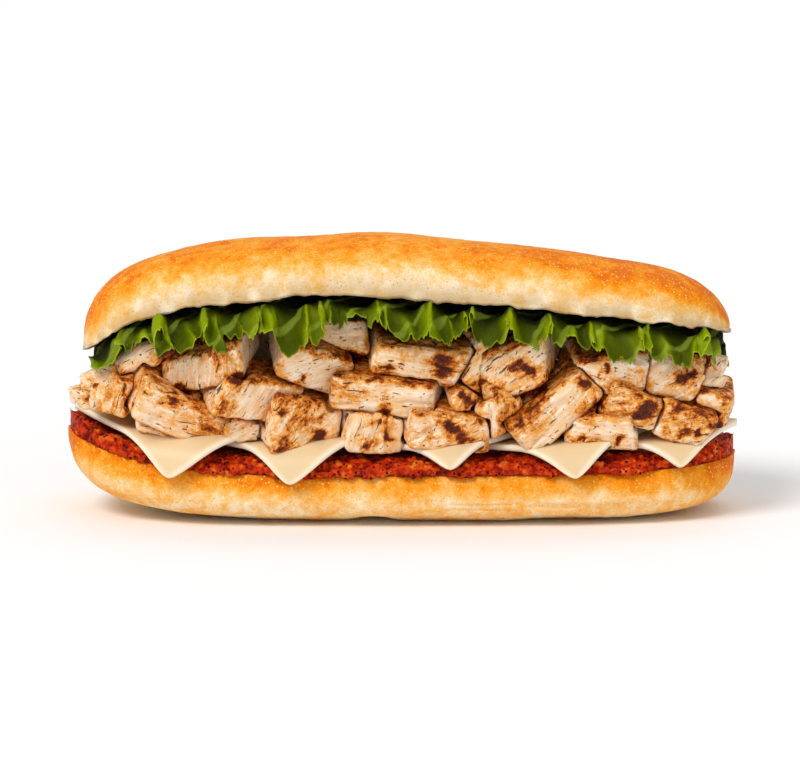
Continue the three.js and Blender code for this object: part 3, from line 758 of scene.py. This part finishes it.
def build_heel():
    """The heel: its crust and cut face as rings along X. The crust is moved along its normals by slow
    swells, long stretch wrinkles low on the front and fine unevenness."""
    t = stations(ROLL_RINGS)[:, None]
    crust = heel_crust(t, np.linspace(0, np.pi, HEEL_AROUND)[None, :])
    x = t * HEEL_LENGTH
    share = np.linspace(1, -1, FACE_ACROSS + 2)[None, 1:-1]
    y = plan_width(t) * share
    grid = np.concatenate([crust, points_of(x, y, heel_top(x, y))], axis=1)
    on_crust = np.arange(grid.shape[1]) < HEEL_AROUND
    n = outward_normals(grid, 12)
    swell = 0.35 * layered(grid, (26, 14, 14), 3) + 0.08 * layered(grid, 2.6, 5)
    band = bell(grid[..., 0], 48, 34) * bell(grid[..., 2], 8, 5)
    pleat = np.abs(noise(grid, (26, 9, 2.3), 9))
    swell -= band * (1 - pleat) ** 4 * (grid[..., 1] < 0)
    grid = grid + n * (np.minimum(swell, 0.25) * on_crust)[..., None]
    height = grid[..., 2]
    grid[..., 2] = np.where(height < 2.4, np.clip(height - 0.6, 0, None) * 4 / 3, height)
    down = (heel_rim(grid[..., 0]) - grid[..., 2]) / HEEL_DEPTH
    ends = smooth((np.abs(grid[..., 0]) - 84) / 28)
    bake = 0.76 - 0.46 * smooth((down - 0.1) / 0.45) + 0.2 * ends * (1 - 0.6 * smooth(down))
    covered = smooth(plan_width(t) * (1 - np.abs(share)) / 4) * smooth((0.97 - np.abs(t)) / 0.05)
    crumb = np.concatenate([0 * crust[..., 0], covered], axis=1)
    marks = {"bake": bake, "crumb": crumb, "edge": 0 * bake}
    material = make_material("heel_crust", crust_surface, Specular_IOR_Level=0.07)
    loft("roll_heel", grid, *heel_ends(HEEL_LENGTH, -0.6), marks, ["heel"], "crust", material)


def build_crown():
    """The crown: its crust and sagging cut face as rings along X in its own tipped frame, moved along
    their normals by slow swells and fine unevenness. The rim is worn, and reaches a little lower."""
    t = stations(ROLL_RINGS)[:, None]
    a = np.linspace(0, np.pi, CROWN_AROUND)[None, :]
    x, q, high = crown_crust(t, a)
    worn = layered(points_of(x, 0 * q, 0), 6.0, 17)
    lip = (CROWN_LIP + CROWN_LIP_WEAR * worn) * bell(np.sin(a), 0, 0.13)
    lip = lip + end_hang(x) * (1 - np.sin(a) ** CROWN_SECTION)
    crust = crown_point(x, q, high - lip)
    across = np.linspace(-1, 1, FACE_ACROSS + 2)[None, 1:-1]
    xs = CROWN_CENTRE + t * CROWN_LENGTH + 0 * across
    sag = -CROWN_CRUMB_SAG * (1 - across**2) * (1 - t**4)
    face = crown_point(xs, plan_width(t) * across, sag - end_hang(xs))
    grid = np.concatenate([crust, face], axis=1)
    on_crust = np.arange(grid.shape[1]) < CROWN_AROUND
    n = outward_normals(grid, 80)
    swell = 0.4 * layered(grid, (30, 16, 14), 13) + 0.08 * layered(grid, 2.6, 15)
    swell = np.minimum(swell - 0.25, 0.0) * np.where(on_crust, 1.0, 0.3)
    grid = grid + n * swell[..., None]
    up = np.concatenate([np.sin(a) ** CROWN_SECTION + 0 * t, 0 * face[..., 0]], axis=1)
    ends = smooth((np.abs(grid[..., 0] - CROWN_CENTRE) - 78) / 36)
    right = smooth((grid[..., 0] - 20) / 60)
    blond = bell(grid[..., 0], 5, 38)
    bake = 0.04 + 0.8 * smooth(up / 0.81) + 0.05 * ends + 0.11 * right * smooth(up / 0.5) - 0.1 * blond
    crumb = ~on_crust + 0 * bake
    # Partly toasted crumb and partly painted shade along the lowest band of the crust, under the rim.
    edge = bell(up, 0, 0.24) * on_crust * smooth(0.85 + noise(grid, 5.0, 19))
    marks = {"bake": bake, "crumb": crumb, "edge": edge}
    tips = CROWN_CENTRE + CROWN_LENGTH * np.array([-1.0, 1.0])
    poles = crown_point(tips, 0.0, 0.6 - end_hang(tips))
    material = make_material("crown_crust", crust_surface, Specular_IOR_Level=0.07)
    loft("roll_crown", grid, *poles, marks, ["crown"], "crust", material)


def spread_lump(x, y):
    """The layer's slow lumps: a product of two bent waves and a third, slower one."""
    waves = np.sin(x * 1.13 + 1.7 * np.sin(y * 0.5)) * np.cos(y * 0.9 + 1.3 * np.sin(x * 0.37))
    return waves + 0.5 * np.sin(x * 0.41 + y * 0.3)


def build_spread():
    """The spread: a layer with a swelling edge, squeezed higher along the front and at both ends, that
    slumps here and there along the front, covered in crumbs of about 2 mm by noise along its normals."""
    t = stations(SPREAD_RINGS)[:, None]
    a = np.linspace(0, np.pi, SPREAD_AROUND)[None, :]
    x = t * SPREAD_LENGTH
    w = SPREAD_WIDTH * np.sqrt(1 - t**4)
    out = signed_power(np.cos(a), 0.6)
    up = np.sin(a) ** 0.5
    y = w * out
    edge = 1 + 0.012 * spread_lump(x, 3 * out) / np.maximum(0.3, w / HALF_WIDTH)
    high = SPREAD_THICKNESS - 1 + SPREAD_FRONT_SWELL * smooth((-out - 0.5) / 0.35)
    high = high + SPREAD_END_SWELL * smooth((np.abs(t) - 0.82) / 0.15)
    z = heel_top(x, y) + 0.4 + (high + 0.75) * up + 0.6 * spread_lump(x, y) * up * np.abs(out)
    slump = 0.5 + 0.5 * np.sin(x / 4.1 + 2 * np.sin(x / 9.7)) * np.cos(x / 13)
    slump = slump * smooth((-out - 0.8) / 0.2) * (1 - smooth(up))
    z = z - 1.3 * slump
    edge = edge + 0.035 * slump
    over = points_of(x, y * edge, z)
    below = w * 0.97 * np.linspace(-1, 1, SPREAD_UNDER)[None, :]
    under = points_of(x, below, heel_top(x, below) + 0.35)
    grid = np.concatenate([under, over], axis=1)
    on_top = np.arange(grid.shape[1]) >= SPREAD_UNDER
    crumbs = np.abs(noise(grid, 2.2, 21)) + 0.6 * np.abs(noise(grid, 1.3, 22)) + 0.5 * noise(grid, 4.5, 23)
    relief = np.clip(1.2 * (crumbs - 0.75), -1.3, 0.8) * on_top * clamp(w / 14)
    grid = grid + outward_normals(grid, 21) * relief[..., None]
    marks = {
        # Painted shade in the recesses, and a painted highlight on the raised crumbs.
        "hollow": 0.8 * smooth((0.2 - crumbs) / 0.3) * on_top,
        "crest": smooth((crumbs - 0.55) / 0.7) * on_top,
    }
    material = make_material(
        "pepper_spread", spread_surface, Coat_Weight=0.06, Coat_Roughness=0.2, Specular_IOR_Level=0.1,
    )
    loft("pepper_spread", grid, *heel_ends(SPREAD_LENGTH, 2), marks, ["spread"], "spread", material)


def drape(x, y, lift):
    """Where a flat point of a slice comes to rest: inside a rounded rim it lies flat, and beyond it
    bends down round a radius to a limit and then goes straight. lift is square to the surface."""
    length, width = CHEESE_RIM
    f = np.sqrt((y / width) ** 2 + (x / length) ** 4)
    out_x = 2 * x**3 / length**4 / np.maximum(f, 0.2)
    out_y = y / width**2 / np.maximum(f, 0.2)
    slope = np.maximum(np.hypot(out_x, out_y), 1e-6)
    beyond = np.clip((f - 1) / slope, 0, None)
    angle = np.minimum(beyond / CHEESE_BEND, CHEESE_BEND_LIMIT)
    straight = beyond - angle * CHEESE_BEND
    r = CHEESE_BEND + lift
    reach = r * np.sin(angle) + straight * np.cos(angle) - beyond
    drop = CHEESE_BEND - r * np.cos(angle) + straight * np.sin(angle)
    return x + out_x / slope * reach, y + out_y / slope * reach, -drop


def build_slice(number, corner_x, corner_y, left_edge, right_side, material):
    """A slice of cheese: a square grid with softly rounded corners and rims, laid flat over the next
    slice, draped at the roll's rim and lifted with the heel's ends."""
    side = np.sin(np.linspace(-np.pi / 2, np.pi / 2, CHEESE_POINTS))
    u, v = np.meshgrid(side, side, indexing="ij")
    pull = CHEESE_CORNER_PULL * np.abs(u) ** 10 * np.abs(v) ** 10
    a = right_side / 2 * (1 + u * (1 - pull))
    b = CHEESE_SIDE / 2 * (1 + v * (1 - pull))
    left = math.radians(left_edge)
    flat_x = corner_x + a * math.sin(left) - b * math.cos(left)
    flat_y = corner_y + a * math.cos(left) + b * math.sin(left)
    x, y, rise = drape(flat_x, flat_y, CHEESE_SHINGLE * (flat_x - corner_x))
    z = CHEESE_LEVEL + heel_rim(x) - HEEL_RIM + rise
    to_rim = np.minimum(np.minimum(a, right_side - a), np.minimum(b, CHEESE_SIDE - b))
    half = CHEESE_THICKNESS / 2 * np.sqrt(1 - (1 - clamp(to_rim / CHEESE_EASED_EDGE)) ** 2)
    marks = {"rim": 1 - smooth(to_rim / 2.6)}
    name = f"cheese_slice_{number:02d}"
    pillow(f"cheese_{number}", points_of(x, y, z), half, marks, [name], "cheese", material)


def build_slices():
    """All the slices of cheese."""
    material = make_material(
        "white_cheese", cheese_surface, Specular_IOR_Level=0.3,
        Subsurface_Weight=0.2, Subsurface_Scale=0.003, Subsurface_Radius=(1.0, 0.75, 0.4),
    )
    for i, row in enumerate(SLICES):
        build_slice(i + 1, *row, material)


def turned(degrees, axis):
    """A turn about one axis as a matrix."""
    c, s = math.cos(math.radians(degrees)), math.sin(math.radians(degrees))
    i, j = [(1, 2), (2, 0), (0, 1)][axis]
    m = np.eye(3)
    m[i, i] = m[j, j] = c
    m[i, j], m[j, i] = -s, s
    return m


def even_mesh(node):
    """The node's solid as an even mesh of small faces, in the row frame."""
    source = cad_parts[node]
    mesh = source.data.copy()
    merged = bmesh.new()
    merged.from_mesh(mesh)
    bmesh.ops.remove_doubles(merged, verts=merged.verts, dist=1e-6)
    merged.to_mesh(mesh)
    merged.free()
    mesh.transform(source.matrix_world)
    holder = bpy.data.objects.new("holder", mesh)
    bpy.context.collection.objects.link(holder)
    remesh = holder.modifiers.new("even", "REMESH")
    remesh.mode = "VOXEL"
    remesh.voxel_size = DICE_FACE * MM
    graph = bpy.context.evaluated_depsgraph_get()
    fine = bpy.data.meshes.new_from_object(holder.evaluated_get(graph))
    bpy.data.objects.remove(holder)
    bpy.data.meshes.remove(mesh)
    fine.materials.clear()
    return fine


def relax(points, edges):
    """Moves every point half way to the mean of its neighbours, a few times."""
    a, b = edges[:, 0], edges[:, 1]
    count = np.bincount(edges.ravel(), minlength=len(points))[:, None]
    for _ in range(DICE_ROUNDS):
        sums = [
            np.bincount(a, points[b, k], len(points)) + np.bincount(b, points[a, k], len(points))
            for k in range(3)
        ]
        points = 0.5 * points + 0.5 * np.stack(sums, -1) / count
    return points


def grill_marks(own, facing):
    """How dark each point is from the listed grill marks, which are laid on from the front: each is a
    rounded patch that falls off at its rim and holds only where the surface faces the front."""
    across = own[:, 0] + 1.9 * layered(own, 4.0, 201)
    up = own[:, 2] * math.cos(FRONT_SLANT) + own[:, 1] * math.sin(FRONT_SLANT)
    up = up + 1.7 * layered(own, 4.0, 205)
    dark = np.zeros(len(own))
    for x, height, half_length, half_height, tilt, strength in GRILL_MARKS:
        reach = 2 * max(half_length, half_height)
        if x + reach < across.min() or x - reach > across.max():
            continue
        c, s = math.cos(math.radians(tilt)), math.sin(math.radians(tilt))
        u = ((across - x) * c + (up - height) * s) / half_length
        v = ((up - height) * c - (across - x) * s) / half_height
        r = u * u + v * v
        patch = strength * np.exp(-0.6 * r**2)
        halo = min(strength, 0.66) * np.exp(-0.28 * r)
        dark = np.maximum(dark, np.maximum(patch, halo))
    return dark * facing


def browning(number, own, block, half, facing, browned):
    """How grilled each point of a dice is: its grill marks, or else its top, underside, rims and sides,
    the sides by noise. half is half its length, depth and height."""
    rim = smooth((np.sort(np.abs(block) / half, axis=1)[:, 1] - 0.72) / 0.25)
    top = smooth((block[:, 2] / half[2] - 0.6) / 0.35)
    under = smooth((-block[:, 2] / half[2] - 0.7) / 0.3)
    cloud = layered(block + number * 50, 9, number + 7, 2)
    sides = browned * smooth(0.5 + 1.5 * cloud)
    skin = np.maximum.reduce([0.56 * top, 0.52 * under, 0.36 * rim, 0.5 * sides])
    return np.maximum(grill_marks(own, facing), skin + 0.12 * cloud)


def build_dice(number, row, behind, material):
    """One dice of chicken: its solid as an even mesh, relaxed so that its edges round, then moved along
    its normals by fibres, slits and a crumbly rim. Its marks hold places along its own axes."""
    x, z, length, height, depth, roll, yaw, pitch, back, fibre_angle, browned = row
    name = f"chicken_{number:02d}"
    mesh = even_mesh(name)
    flat = np.empty(len(mesh.vertices) * 3, np.float32)
    mesh.vertices.foreach_get("co", flat)
    edges = np.empty(len(mesh.edges) * 2, np.int32)
    mesh.edges.foreach_get("vertices", edges)
    points = relax(flat.reshape(-1, 3).astype(float) / MM, edges.reshape(-1, 2))
    mesh.vertices.foreach_set("co", (points * MM).astype(np.float32).ravel())
    mesh.update()
    mesh.vertex_normals.foreach_get("vector", flat)
    n = flat.reshape(-1, 3).astype(float)

    lowered = HEAP_LOWEST + (z - HEAP_LOWEST) * HEAP_BACK_SHRINK if behind else z
    narrowing = HALF_WIDTH - plan_width(np.array(x / (HEEL_LENGTH + 6)))
    centre = np.array([x, HEAP_FRONT + 0.7 * narrowing + back + depth / 2, lowered])
    turn = turned(yaw, 2) @ turned(pitch, 0) @ turned(roll, 1)
    flip = np.array([-1, -1, 1]) if behind else np.ones(3)
    own = (points - ORIGIN) * flip
    block = (own - centre) @ turn
    angle = math.radians(fibre_angle)
    along = block[:, 0] * math.cos(angle) + block[:, 2] * math.sin(angle)
    cross = block[:, 2] * math.cos(angle) - block[:, 0] * math.sin(angle)
    fibre = points_of(along, cross, block[:, 1]) + [number * 37.0, number * 11.0, 0]

    threads = noise(fibre, (9, 1.9, 2.6), number)
    slit = smooth((noise(fibre, (7, 2.0, 3.2), number + 60) - 0.5) / 0.2)
    lumps = layered(points, (7, 7, 7), number + 90, 2)
    crumbly = noise(points, 2.2, number + 120)
    relief = 0.16 * threads - 0.8 * slit + 0.3 * lumps + 0.2 * crumbly - 0.14
    points = points + n * np.minimum(relief, 0.3)[:, None]
    mesh.vertices.foreach_set("co", (points * MM).astype(np.float32).ravel())

    if behind:
        own[:, 2] = HEAP_LOWEST + (own[:, 2] - HEAP_LOWEST) / HEAP_BACK_SHRINK
    facing = smooth((0.35 - (n * flip) @ [0, math.cos(0.17), -math.sin(0.17)]) / 0.4)
    grill = browning(number, own, block, np.array([length, depth, height]) / 2, facing, browned)
    marks = {"fibre": fibre, "block": block + [number * 23.0, number * 5.0, 0], "grill": grill}
    finish_piece(f"dice_{number}", mesh, marks, [name], "chicken", material)


def build_heap():
    """All the dice: the front rows, then their twins at the back."""
    material = make_material(
        "grilled_chicken", chicken_surface, Specular_IOR_Level=0.22,
        Subsurface_Weight=0.08, Subsurface_Scale=0.003, Subsurface_Radius=(1.0, 0.5, 0.3),
    )
    rows = [(row, False) for row in DICE] + [(row, True) for row in DICE[:TWINNED_DICE]]
    for i, (row, behind) in enumerate(rows):
        build_dice(i + 1, row, behind, material)


def curl(x):
    """Phase of the ruffles along the roll: tight at both ends and wide on the middle leaf."""
    return TAU * x / 16.5 - 2 * np.sin((x + 35) / 22)


def leaf_bend(x):
    """Distance from the middle line at which a leaf starts to bend down."""
    return np.maximum(crown_width(x), 9) - 4


def frill(x, side, beyond, outer):
    """Curls of about 6 mm near a leaf's edge, uneven in size and slanting as they run outwards, and
    crimps of about 2 mm: how far both rise, and how far they sway along the roll."""
    lane = points_of(x + 0.3 * side * beyond, side * 60.0, 0.4 * beyond)
    turn = TAU * x / FRILL_LENGTH + 3.4 * noise(lane, (11, 1, 12), 5) + 0.12 * side * beyond
    calm = 0.6 * bell(x, BROAD_FACE, 15)
    size = outer * (0.75 + 0.75 * noise(lane, (9, 1, 9), 6)) * (1 - calm)
    rise = FRILL_RISE * size * np.sin(turn) + 1.5 * outer * noise(lane, (1.8, 1, 3.5), 7)
    sway = FRILL_SWAY * size * np.cos(turn) + 0.9 * outer * noise(lane, (2.0, 1, 3.5), 8)
    return rise, sway


def cusps(x):
    """1 less the sine's size at that many half turns: from 0 it rises to a point of 1 once a turn."""
    return 1 - np.abs(np.sin(np.pi * x))


def leaf_reach(number, x, side, phase, lobe, lobe_wave):
    """How far a leaf reaches from the middle line: a slow wave, unevenness by noise, and lobes with
    teeth, which are cusps along the edge where the ruffles and frills sway it to."""
    run = x + RUFFLE_SWAY * np.cos(phase) + frill(x, side, LEAF_OVERHANG + 0 * x, 1.0)[1]
    lane = points_of(x, side * 40.0, 0)
    worn = points_of(run, side * 40.0, 0)
    lobes = 1 - cusps(run / LOBE_LENGTH + noise(worn, (9, 1, 1), 40 + number))
    points = cusps(run / TOOTH_LENGTH + 0.9 * noise(worn, (3.6, 1, 1), 50 + number))
    teeth = LOBE_DEPTH * lobes + (1.3 + 0.7 * noise(worn, (2.9, 1, 1), 55 + number)) * points - 2.5
    teeth = teeth + 4.0 * noise(lane, (7.5, 1, 1), 60 + number) + 1.5 * (side > 0)
    teeth = teeth - 4.5 * end_hang(x) / CROWN_HANG
    return leaf_bend(x) + LEAF_OVERHANG + lobe * np.sin(TAU * x / lobe_wave) + teeth


def build_leaf(number, first, last, inset, lobe, lobe_wave, material):
    """A leaf: flat under the crown and bent down on both sides, with ruffles that grow outwards, small
    frills, and blisters by noise."""
    u = np.linspace(0, 1, int((last - first) / LEAF_STEP))[:, None]
    v = np.linspace(-1, 1, LEAF_POINTS)[None, :]
    share = 0.5 * v + 0.5 * np.sin(np.pi / 2 * v)
    x = first + u * (last - first) + 0 * share
    side = np.sign(share) + (share == 0) + 0 * x
    phase = curl(x) + np.where(share < 0, 0.0, 2.0)
    start = leaf_bend(x)
    reach = leaf_reach(number, x, side, phase, lobe, lobe_wave)
    along = np.abs(share) * reach
    from_end = np.minimum(x - first, last - x)
    tuck = inset * (1 - smooth((from_end - 5.5) / 4))
    beyond = np.clip(along - start, 0, None)
    angle = np.minimum(beyond / LEAF_BEND, np.where(side < 0, *LEAF_BEND_LIMITS))
    straight = beyond - angle * LEAF_BEND
    r = LEAF_BEND - tuck
    q = np.minimum(along, start) + r * np.sin(angle) + straight * np.cos(angle)
    high, low = LEAF_BELOW
    below = high + (low - high) * smooth((along / start - 0.3) / 0.7)
    n = -below - LEAF_BEND - end_hang(x) + r * np.cos(angle) - straight * np.sin(angle)
    grown = smooth((along / start - 0.85) / 0.5)
    outer = smooth(beyond / 10.5)
    uneven = 0.85 + 0.6 * noise(points_of(x, side * 40.0, 0), (12, 1, 1), 80 + number)
    wide = grown * RUFFLE_OUTER * (0.3 + np.sin(phase) + 0.25 * np.sin(2.3 * phase)) * uneven
    rise, sway = frill(x, side, beyond, outer)
    ruffle = RUFFLE_INNER * (1 - grown) * np.sin(phase + q / 6) + wide + rise
    sway = sway + RUFFLE_SWAY * grown * np.cos(phase)
    lean = 0.7 * angle
    middle = crown_point(x + sway, side * (q + ruffle * np.sin(lean)), n + ruffle * np.cos(lean))
    blister = (0.4 * noise(middle, 3.6, 70 + number) + 0.2 * noise(middle, 1.7, 75)) * smooth(grown * 2)
    middle = middle + grid_normals(middle, closed=False) * blister[..., None]
    front, back = LEAF_LIMITS
    middle[..., 1] = back - np.logaddexp(0, back - middle[..., 1])
    middle[..., 1] = front + np.logaddexp(0, middle[..., 1] - front)
    half = 0.1 + 0.22 * smooth(np.minimum(from_end, reach - along) / 4)
    marks = {
        "leaf": points_of(x, side * along, 0),
        # Painted light: dark as shade under the crown and in the valleys of the ruffles, lit on their raised
        # folds.
        "painted_light": smooth((beyond - 2) / 7) * (0.22 + 0.78 * smooth(0.5 + ruffle / 5.5)),
        "edge": 1 - smooth((reach - along) / 0.8),
    }
    name = f"lettuce_leaf_{number:02d}"
    pillow(f"lettuce_{number}", middle, half, marks, [name], "lettuce", material)


def build_leaves():
    """All the leaves."""
    material = make_material(
        "green_lettuce", lettuce_surface, Specular_IOR_Level=0.05,
        Subsurface_Weight=0.1, Subsurface_Scale=0.0015, Subsurface_Radius=(0.6, 1.0, 0.1),
    )
    for i, row in enumerate(LEAVES):
        build_leaf(i + 1, *row, material)


# Setting


def floor_surface():
    """Almost white, with a slow change of shade."""
    shade = grain(object_place(), 0.004, 2.0, 0.5)
    return [blend(shade, (250, 250, 250), (253, 253, 253))]


def build_setting():
    """A plain pale floor, a soft white surround and three large soft lights."""
    mesh = bpy.data.meshes.new("floor")
    mesh.from_pydata([(-6, -6, 0), (6, -6, 0), (6, 6, 0), (-6, 6, 0)], [], [(0, 1, 2, 3)])
    mesh.materials.append(
        make_material("pale_floor", floor_surface, Roughness=0.9, Specular_IOR_Level=0.1)
    )
    floor = bpy.data.objects.new("floor", mesh)
    bpy.context.collection.objects.link(floor)

    world = bpy.data.worlds.new("surround")
    world.use_nodes = True
    background = world.node_tree.nodes["Background"]
    background.inputs["Color"].default_value = (1, 1, 1, 1)
    background.inputs["Strength"].default_value = SURROUND_STRENGTH
    bpy.context.scene.world = world

    for name, towards, spread, strength in LIGHTS:
        light = bpy.data.lights.new(name, "SUN")
        light.angle = math.radians(spread)
        light.energy = strength
        lamp = bpy.data.objects.new(name, light)
        x, y, z = towards
        lamp.rotation_euler = (math.atan2(math.hypot(x, y), z), 0, math.atan2(x, -y))
        bpy.context.collection.objects.link(lamp)


def build_camera():
    """A long lens in front of the open side, a little above level."""
    camera = bpy.data.cameras.new("camera")
    camera.sensor_width = CAMERA_SENSOR
    camera.lens = CAMERA_SENSOR * CAMERA_DISTANCE / PICTURE_WIDTH
    holder = bpy.data.objects.new("camera", camera)
    back = CAMERA_DISTANCE * np.array([0, -math.cos(FRONT_SLANT), math.sin(FRONT_SLANT)])
    holder.location = np.array(CAMERA_AIM) * MM + ORIGIN * MM + back
    holder.rotation_euler = (math.pi / 2 - FRONT_SLANT, 0, 0)
    bpy.context.collection.objects.link(holder)
    bpy.context.scene.camera = holder


def main():
    """Builds the sandwich, its setting and its camera."""
    bpy.context.scene.view_settings.view_transform = "Standard"
    build_heel()
    build_spread()
    build_slices()
    build_heap()
    build_leaves()
    build_crown()
    build_setting()
    build_camera()


main()
